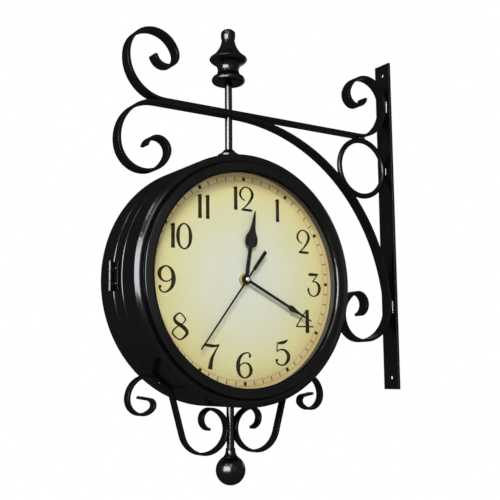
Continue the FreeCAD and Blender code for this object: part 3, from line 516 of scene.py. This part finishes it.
MATERIALS = {
    "black_case": enamel(
        "black_case", dark=(0.0022, 0.0022, 0.0024), light=(0.004, 0.004, 0.0042),
        shine=0.0062, rough=0.18, grain=0.002, edge=0.3,
    ),
    "black_iron": enamel(
        "black_iron", dark=(0.0018, 0.0018, 0.0018), light=(0.0034, 0.0034, 0.0034),
        shine=0.0045, rough=0.26, grain=0.004, edge=0.5,
    ),
    "black_turned": enamel(
        "black_turned", dark=(0.0014, 0.0014, 0.0016), light=(0.0026, 0.0026, 0.003),
        shine=0.0075, rough=0.2, grain=0.001, edge=0.3,
    ),
    "black_hands": enamel(
        "black_hands", dark=(0.004, 0.0038, 0.0036), light=(0.007, 0.0066, 0.0064),
        shine=0.006, rough=0.4, grain=0.003, edge=0.1,
    ),
    "zinc_steel": metal(
        "zinc_steel", dark=srgb(176, 178, 182), light=srgb(206, 208, 210), rough=0.3, lines=(1, 12, 1),
    ),
    "brass": moulded("brass", dark=srgb(176, 168, 92), light=srgb(204, 196, 118), rough=0.5, grain=0.01),
    "magnet": moulded("magnet", dark=srgb(66, 62, 62), light=srgb(88, 84, 83), rough=0.6, grain=0.02),
    "clear_glass": clear_glass("clear_glass"),
    "cream_dial": dial_card("cream_dial"),
    "black_plastic": moulded(
        "black_plastic", dark=srgb(34, 34, 35), light=srgb(46, 46, 47), rough=0.5, grain=0.015,
    ),
    "pale_plastic": moulded(
        "pale_plastic", dark=srgb(222, 219, 206), light=srgb(238, 236, 226), rough=0.42, grain=0.008,
    ),
    "black_rubber": moulded(
        "black_rubber", dark=srgb(30, 30, 30), light=srgb(44, 43, 42), rough=0.72, grain=0.02,
    ),
    "battery_wrap": battery_wrap("battery_wrap"),
}
INK = ink("dial_ink", dark=srgb(30, 23, 4), light=srgb(44, 35, 12))
TRACK_INK = ink("track_ink", dark=srgb(66, 50, 22), light=srgb(92, 72, 38))
WELD = enamel(
    "weld_enamel", dark=(0.004, 0.004, 0.004), light=(0.008, 0.008, 0.008),
    shine=0.04, rough=0.24, grain=0.01, edge=0.2,
)
ROD = enamel(
    "rod_enamel", dark=(0.0016, 0.0016, 0.0018), light=(0.003, 0.003, 0.0032),
    shine=0.01, rough=0.17, grain=0.001, edge=0.2,
)
REVEAL = moulded("reveal_satin", dark=srgb(46, 43, 42), light=srgb(58, 55, 53), rough=0.45, grain=0.006)
CHROME = metal("bright_cap", dark=srgb(176, 170, 166), light=srgb(206, 200, 196), rough=0.24, lines=(1, 1, 1))

# Nodes with a finish of their own
SPECIAL = {
    "front_reveal_ring": REVEAL,
    "rear_reveal_ring": REVEAL,
    "hanger_rod": ROD,
    "lower_rod": ROD,
}

for part in subparts:
    node = nodes[part["node"]]
    node.data.materials.clear()
    node.data.materials.append(SPECIAL.get(part["node"], MATERIALS[part["material_slot"]]))


# Pieces

def piece(name, mesh, material, body, smooth=False):
    """New object in the part's frame that moves with a body."""
    bmesh.ops.recalc_face_normals(mesh, faces=mesh.faces)
    for face in mesh.faces:
        face.smooth = smooth
    data = bpy.data.meshes.new(name)
    mesh.to_mesh(data)
    mesh.free()
    data.materials.append(material)
    item = bpy.data.objects.new(name, data)
    bpy.context.scene.collection.objects.link(item)
    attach(item, body)


def dial_plane(side):
    """Places dial coordinates (across, up, out) in millimetres on the front dial (1) or the rear one (-1)."""
    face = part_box("front_dial")[0].y if side > 0 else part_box("rear_dial")[1].y

    def place(across, up, out):
        return Vector((AXIS_X + side * across * MM, face - side * out * MM, AXIS_Z + up * MM))

    return place


def strip(mesh, place, pairs, low, high, closed=False):
    """Thin closed plate between two edges given as pairs of points."""
    rows = []
    for left, right in pairs:
        rows.append([
            mesh.verts.new(place(*left, low)),
            mesh.verts.new(place(*left, high)),
            mesh.verts.new(place(*right, high)),
            mesh.verts.new(place(*right, low)),
        ])
    following = rows[1:] + rows[:1] if closed else rows[1:]
    for row, after in zip(rows, following):
        for j in range(len(row)):
            k = (j + 1) % len(row)
            mesh.faces.new((row[j], after[j], after[k], row[k]))
    if not closed:
        mesh.faces.new(rows[0])
        mesh.faces.new(rows[-1][::-1])


def curve_value(a, b, c, d, t):
    """Value at a share t of the way from b to c, on a smooth curve through four values."""
    bend = 2 * a - 5 * b + 4 * c - d
    twist = 3 * b - a - 3 * c + d
    return 0.5 * (2 * b + (c - a) * t + bend * t * t + twist * t ** 3)


def spline_points(points, steps=8):
    """Points along a smooth curve through (x, y, width) points."""
    first = [2 * a - b for a, b in zip(points[0], points[1])]
    last = [2 * a - b for a, b in zip(points[-1], points[-2])]
    if points[0] == points[-1]:
        first, last = points[-2], points[1]
    chain = [first, *points, last]
    result = []
    for four in zip(chain, chain[1:], chain[2:], chain[3:]):
        for k in range(steps):
            result.append([curve_value(*values, k / steps) for values in zip(*four)])
    result.append(list(points[-1]))
    return result


def stroke_edges(points):
    """Left and right edge of a pen stroke, and whether it is closed."""
    path = spline_points(points)
    closed = points[0] == points[-1]
    pairs = []
    for k, (x, y, width) in enumerate(path):
        before = path[k - 1] if k else (path[-2] if closed else path[0])
        after = path[k + 1] if k + 1 < len(path) else (path[1] if closed else path[-1])
        run = Vector((after[0] - before[0], after[1] - before[1])).normalized()
        offset = Vector((-run.y, run.x)) * width * PEN / 2
        pairs.append(((x + offset.x, y + offset.y), (x - offset.x, y - offset.y)))
    return (pairs[:-1] if closed else pairs), closed


def ball_edges(x, y, radius, count=12):
    """A round dot as a strip of pairs from its left to its right."""
    pairs = []
    for k in range(1, count):
        angle = math.pi * k / count
        pairs.append((
            (x - radius * math.cos(angle), y + radius * math.sin(angle)),
            (x - radius * math.cos(angle), y - radius * math.sin(angle)),
        ))
    return pairs


def draw_figure(mesh, place, figure, x, z):
    """A figure of the dial, with its middle at a place on the dial."""
    stretch = 1.0 if figure == "1" else FIGURE_STRETCH

    def at(point):
        return (x + point[0] * stretch * NUMERAL_HEIGHT, z + (point[1] - 0.5) * NUMERAL_HEIGHT)

    strokes = [stroke_edges(points) for points in STROKES[figure]]
    strokes += [(ball_edges(*ball), False) for ball in BALLS.get(figure, ())]
    level = PRINT_LIFT
    for pairs, closed in strokes:
        page = [(at(left), at(right)) for left, right in pairs]
        strip(mesh, place, page, level, level + PRINT_THICK, closed)
        level += PRINT_STEP


def ring_edges(inner, outer, count=180):
    """Circle about the arbor."""
    pairs = []
    for k in range(count):
        angle = 2 * math.pi * k / count
        ray = (math.sin(angle), math.cos(angle))
        pairs.append(((inner * ray[0], inner * ray[1]), (outer * ray[0], outer * ray[1])))
    return pairs


def bar_edges(angle, inner, outer, width):
    """Bar on the dial that points at the arbor."""
    ray = Vector((math.sin(angle), math.cos(angle)))
    offset = Vector((ray.y, -ray.x)) * width / 2
    return [(tuple(ray * r + offset), tuple(ray * r - offset)) for r in (inner, outer)]


def draw_dial(side, name, body):
    """Print of a dial: figures, minute track and hour blocks."""
    place = dial_plane(side)
    figures = bmesh.new()
    for figure, x, z in NUMERALS:
        draw_figure(figures, place, figure, x, z)
    piece(name + "_numerals", figures, INK, body)
    track = bmesh.new()
    blocks = bmesh.new()
    top = PRINT_LIFT + PRINT_THICK
    for radius in TRACK_RADII:
        pairs = ring_edges(radius - TRACK_LINE / 2, radius + TRACK_LINE / 2)
        strip(track, place, pairs, PRINT_LIFT, top, closed=True)
    middle = sum(TRACK_RADII) / 2
    for minute in range(MINUTES):
        angle = math.radians(360 / MINUTES * minute)
        if minute % HOUR_MINUTES:
            mesh = track
            pairs = bar_edges(angle, *TICK_ENDS, TICK_WIDTH)
        else:
            mesh = blocks
            pairs = bar_edges(angle, middle - BLOCK_LENGTH / 2, middle + BLOCK_LENGTH / 2, BLOCK_WIDTH)
        strip(mesh, place, pairs, PRINT_LIFT + PRINT_STEP, top + PRINT_STEP)
    piece(name + "_minute_track", track, TRACK_INK, body)
    piece(name + "_hour_blocks", blocks, INK, body)


def skin(mesh, rings):
    """Faces between rings of points, each to the next."""
    for ring, after in zip(rings, rings[1:]):
        for j in range(len(ring)):
            k = (j + 1) % len(ring)
            mesh.faces.new((ring[j], ring[k], after[k], after[j]))


def fan(mesh, ring, tip):
    """Faces from a ring of points to a new point."""
    point = mesh.verts.new(tip)
    for j in range(len(ring)):
        mesh.faces.new((ring[j], ring[(j + 1) % len(ring)], point))


def turned_cap(name, node, side, body):
    """Small bright dome over the arbor of a second hand."""
    low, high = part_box(node)
    foot = low.y if side > 0 else high.y
    mesh = bmesh.new()
    rings = []
    for k in range(CAP_RINGS):
        tilt = math.pi / 2 * k / CAP_RINGS
        ring = []
        for j in range(CAP_SIDES):
            turn = 2 * math.pi * j / CAP_SIDES
            ring.append(mesh.verts.new(Vector((
                AXIS_X + CAP_RADIUS * MM * math.cos(tilt) * math.cos(turn),
                foot - side * CAP_HEIGHT * MM * math.sin(tilt),
                AXIS_Z + CAP_RADIUS * MM * math.cos(tilt) * math.sin(turn),
            ))))
        rings.append(ring)
    skin(mesh, rings)
    fan(mesh, rings[-1], Vector((AXIS_X, foot - side * CAP_HEIGHT * MM, AXIS_Z)))
    mesh.faces.new(rings[0][::-1])
    piece(name, mesh, CHROME, body, smooth=True)


def weld_bead(mesh, middle, along, half, radius, ripples):
    """Rippled bead along a line through its middle, which swells there and closes at both ends."""
    start = middle - along * half * MM
    end = middle + along * half * MM
    run = end - start
    axis = run.normalized()
    side = axis.orthogonal().normalized()
    across = axis.cross(side)
    steps = ripples * WELD_RIPPLE_STEPS
    rings = []
    for k in range(1, steps):
        t = k / steps
        swell = math.sin(math.pi * t) ** WELD_SWELL
        wave = 1 + WELD_WAVE * math.sin(2 * math.pi * ripples * t)
        size = radius * MM * swell * wave
        ring = []
        for j in range(WELD_SIDES):
            turn = 2 * math.pi * j / WELD_SIDES
            out = side * math.cos(turn) + across * math.sin(turn)
            ring.append(mesh.verts.new(start + run * t + out * size))
        rings.append(ring)
    skin(mesh, rings)
    fan(mesh, rings[0], start)
    fan(mesh, rings[-1], end)


def furthest_right(node):
    """Point of a CAD node that lies nearest to the wall."""
    return max((vertex.co for vertex in nodes[node].data.vertices), key=lambda point: point.x)


def welds():
    """Beads on both sides where the strips and the ring meet the wall bar, and the ring the arm."""
    mesh = bmesh.new()
    up = Vector((0, 0, 1))
    right = Vector((1, 0, 0))
    bar_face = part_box("wall_bar")[0].x
    strip_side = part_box("upper_scroll_strip")[1].y
    ring_low, ring_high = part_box("bracket_ring")
    ring_middle = (ring_low + ring_high) / 2
    for y in (-1, 1):
        aside = y * (strip_side + STRIP_WELD_ASIDE * MM)
        for node in ("upper_scroll_strip", "lower_scroll_strip"):
            at = Vector((bar_face - STRIP_WELD_OFF * MM, aside, furthest_right(node).z))
            weld_bead(mesh, at, up, *STRIP_WELD)
        aside = y * RING_WELD_ASIDE * ring_high.y
        at = Vector((bar_face - RING_WALL_WELD_OFF * MM, aside, ring_middle.z))
        weld_bead(mesh, at, up, *RING_WALL_WELD)
        at = Vector((ring_middle.x, aside, ring_high.z - RING_ARM_WELD_DOWN * MM))
        weld_bead(mesh, at, right, *RING_ARM_WELD)
    piece("bracket_welds", mesh, WELD, "bracket_and_case", smooth=True)


draw_dial(1, "front", "bracket_and_case")
draw_dial(-1, "rear", "rear_door")
turned_cap("front_arbor_cap", "front_second_hand", 1, "front_second")
turned_cap("rear_arbor_cap", "rear_second_hand", -1, "rear_second")
welds()


# Stage

def card_free():
    """Collection that keeps the reflector cards off glass and dials, which would mirror them as sheets."""
    group = bpy.data.collections.new("card_free")
    for part in subparts:
        if part["material_slot"] in CARD_FREE_SLOTS:
            group.objects.link(nodes[part["node"]])
    for entry in group.collection_objects:
        entry.light_linking.link_state = "EXCLUDE"
    return group


CARD_FREE = card_free()


def area_light(name, bearing, height, reach, size, radiance, colour, lights=True, shines=True):
    """Lamp that faces the clock, at a bearing from the front towards the left and a height, in degrees.

    One that doesn't light is a reflector card, which only shows in shiny surfaces. One that doesn't shine
    only lights.
    """
    turn = math.radians(bearing)
    rise = math.radians(height)
    away = Vector((-math.sin(turn) * math.cos(rise), -math.cos(turn) * math.cos(rise), math.sin(rise)))
    data = bpy.data.lights.new(name, "AREA")
    data.shape = "RECTANGLE"
    data.size, data.size_y = size
    data.energy = radiance * math.pi * size[0] * size[1]
    data.color = colour
    lamp = bpy.data.objects.new(name, data)
    lamp.visible_diffuse = lights
    lamp.visible_glossy = shines
    if not lights:
        lamp.light_linking.receiver_collection = CARD_FREE
    lamp.location = Vector((AXIS_X, 0, AXIS_Z)) + away * reach
    lamp.rotation_euler = (-away).to_track_quat("-Z", "Y").to_euler()
    bpy.context.scene.collection.objects.link(lamp)


def white_for_eyes(tree):
    """1 for rays from the camera, from shiny surfaces and through glass, 0 for light on a dull surface."""
    path = tree.nodes.new("ShaderNodeLightPath")
    seen = path.outputs["Is Camera Ray"]
    for name in ("Is Glossy Ray", "Is Transmission Ray"):
        seen = calc(tree, "MAXIMUM", seen, path.outputs[name])
    direct = calc(tree, "LESS_THAN", path.outputs["Diffuse Depth"], 0.5)
    return calc(tree, "MULTIPLY", seen, direct)


def make_world():
    """White to look at, with a weaker light that falls on the clock."""
    world = bpy.data.worlds.new("studio")
    world.use_nodes = True
    tree = world.node_tree
    tree.nodes.clear()
    output = tree.nodes.new("ShaderNodeOutputWorld")
    mix = tree.nodes.new("ShaderNodeMixShader")
    ambient = tree.nodes.new("ShaderNodeBackground")
    ambient.inputs["Color"].default_value = AMBIENT_COLOUR
    ambient.inputs["Strength"].default_value = AMBIENT
    white = tree.nodes.new("ShaderNodeBackground")
    white.inputs["Color"].default_value = (1, 1, 1, 1)
    white.inputs["Strength"].default_value = 1.0
    tree.links.new(white_for_eyes(tree), mix.inputs[0])
    tree.links.new(ambient.outputs["Background"], mix.inputs[1])
    tree.links.new(white.outputs["Background"], mix.inputs[2])
    tree.links.new(mix.outputs["Shader"], output.inputs["Surface"])
    bpy.context.scene.world = world


def make_floor():
    """Pale floor that keeps the shadow under the clock and turns to plain white further out."""
    mesh = bmesh.new()
    bmesh.ops.create_grid(mesh, x_segments=1, y_segments=1, size=FLOOR_HALF)
    data = bpy.data.meshes.new("floor")
    mesh.to_mesh(data)
    mesh.free()
    floor = bpy.data.objects.new("floor", data)
    floor.location = (AXIS_X, 0, FLOOR_Z)
    bpy.context.scene.collection.objects.link(floor)
    shader = Shader("floor")
    grey = shader.spread(shader.noise(*FLOOR_CLOUD), *FLOOR_GREY)
    shader.set(Base_Color=grey, Roughness=0.9, Specular_IOR_Level=0.0)
    length = shader.add("ShaderNodeVectorMath", operation="LENGTH")
    shader.feed(length.inputs[0], shader.place)
    steps = shader.calc("MULTIPLY", length.outputs["Value"], FLOOR_FADE_SCALE)
    far = shader.spread(steps, 0.0, 1.0, FLOOR_FADE)
    white = shader.add("ShaderNodeEmission")
    shader.overlay(shader.calc("MULTIPLY", far, white_for_eyes(shader.tree)), white.outputs["Emission"])
    data.materials.append(shader.material)


def make_camera():
    """Camera that looks along its yaw and pitch, rolled about that line."""
    ahead = Vector((
        math.sin(CAMERA_YAW) * math.cos(CAMERA_PITCH),
        math.cos(CAMERA_YAW) * math.cos(CAMERA_PITCH),
        math.sin(CAMERA_PITCH),
    ))
    level = Vector((math.cos(CAMERA_YAW), -math.sin(CAMERA_YAW), 0))
    above = level.cross(ahead)
    right = level * math.cos(CAMERA_ROLL) + above * math.sin(CAMERA_ROLL)
    up = above * math.cos(CAMERA_ROLL) - level * math.sin(CAMERA_ROLL)
    data = bpy.data.cameras.new("camera")
    data.lens = CAMERA_LENS
    data.sensor_width = CAMERA_SENSOR
    data.sensor_fit = "HORIZONTAL"
    camera = bpy.data.objects.new("camera", data)
    turn = Matrix((right, up, -ahead)).transposed().to_4x4()
    camera.matrix_world = Matrix.Translation(CAMERA_AT) @ turn
    bpy.context.scene.collection.objects.link(camera)
    bpy.context.scene.camera = camera


area_light("front", bearing=30, height=35, reach=1.7, size=(0.6, 0.6), radiance=19, colour=WARM)
area_light("fill", bearing=0, height=10, reach=1.7, size=(0.9, 0.9), radiance=1.7, colour=WARM)
area_light("rear", bearing=205, height=22, reach=1.7, size=(0.5, 0.5), radiance=26, colour=WARM, shines=False)
area_light(
    "left_card", bearing=62, height=9, reach=1.5, size=(1.5, 0.9), radiance=100, colour=COOLER,
    lights=False,
)
area_light(
    "right_card", bearing=242, height=16, reach=1.5, size=(1.5, 0.9), radiance=14, colour=COOL,
    lights=False,
)
area_light(
    "high_card", bearing=75, height=45, reach=1.7, size=(0.35, 0.35), radiance=45, colour=COOL,
    lights=False,
)
make_world()
make_floor()
make_camera()
bpy.context.scene.view_settings.view_transform = "Standard"
